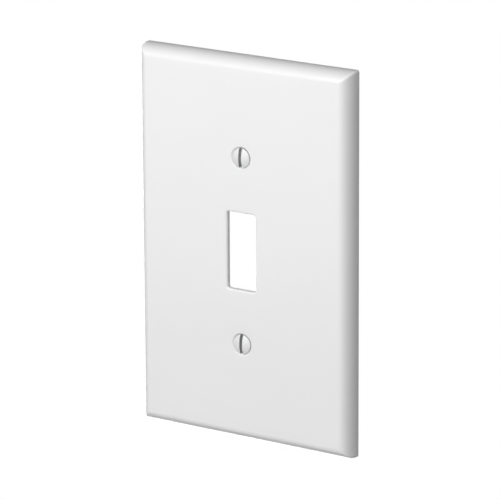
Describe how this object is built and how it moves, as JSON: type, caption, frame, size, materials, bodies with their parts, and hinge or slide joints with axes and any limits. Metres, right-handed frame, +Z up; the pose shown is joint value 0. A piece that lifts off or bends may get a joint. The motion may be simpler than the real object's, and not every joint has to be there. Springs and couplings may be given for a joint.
{
  "type": "toggle switch wall plate",
  "caption": "One-gang wall plate for a toggle switch: a shallow white moulded cover with a rolled edge, held by slotted oval-head screws on fibre retaining washers.",
  "frame": {"origin": "middle of the plate on the wall surface, which is the plane of the plate's rear rim", "axes": "+X to the right of someone facing the plate, +Y into the wall, +Z up; the plate's face looks along -Y"},
  "size_m": [0.0794, 0.0136, 0.1238],
  "materials": {
    "plate_plastic": "glossy moulded white thermoplastic, smooth front, matt moulded back",
    "painted_screw": "zinc-plated steel, head enamelled white to match the plate",
    "washer_fibre": "red-brown vulcanised fibre sheet, die cut"
  },
  "bodies": {
    "plate": {"wall_plate": "plate_plastic"},
    "upper_washer": {"upper_retaining_washer": "washer_fibre"},
    "upper_screw": {"upper_screw": "painted_screw"},
    "lower_washer": {"lower_retaining_washer": "washer_fibre"},
    "lower_screw": {"lower_screw": "painted_screw"}
  },
  "joints": [
    {"name": "upper_screw_slide", "type": "slide", "parent": "plate", "child": "upper_washer", "axis": [0, -1, 0], "range_m": [0, 0.002]},
    {"name": "upper_screw_turn", "type": "hinge", "parent": "upper_washer", "child": "upper_screw", "pos_m": [0, 0, 0.03016], "axis": [0, 1, 0], "continuous": true},
    {"name": "lower_screw_slide", "type": "slide", "parent": "plate", "child": "lower_washer", "axis": [0, -1, 0], "range_m": [0, 0.002]},
    {"name": "lower_screw_turn", "type": "hinge", "parent": "lower_washer", "child": "lower_screw", "pos_m": [0, 0, -0.03016], "axis": [0, 1, 0], "continuous": true}
  ]
}
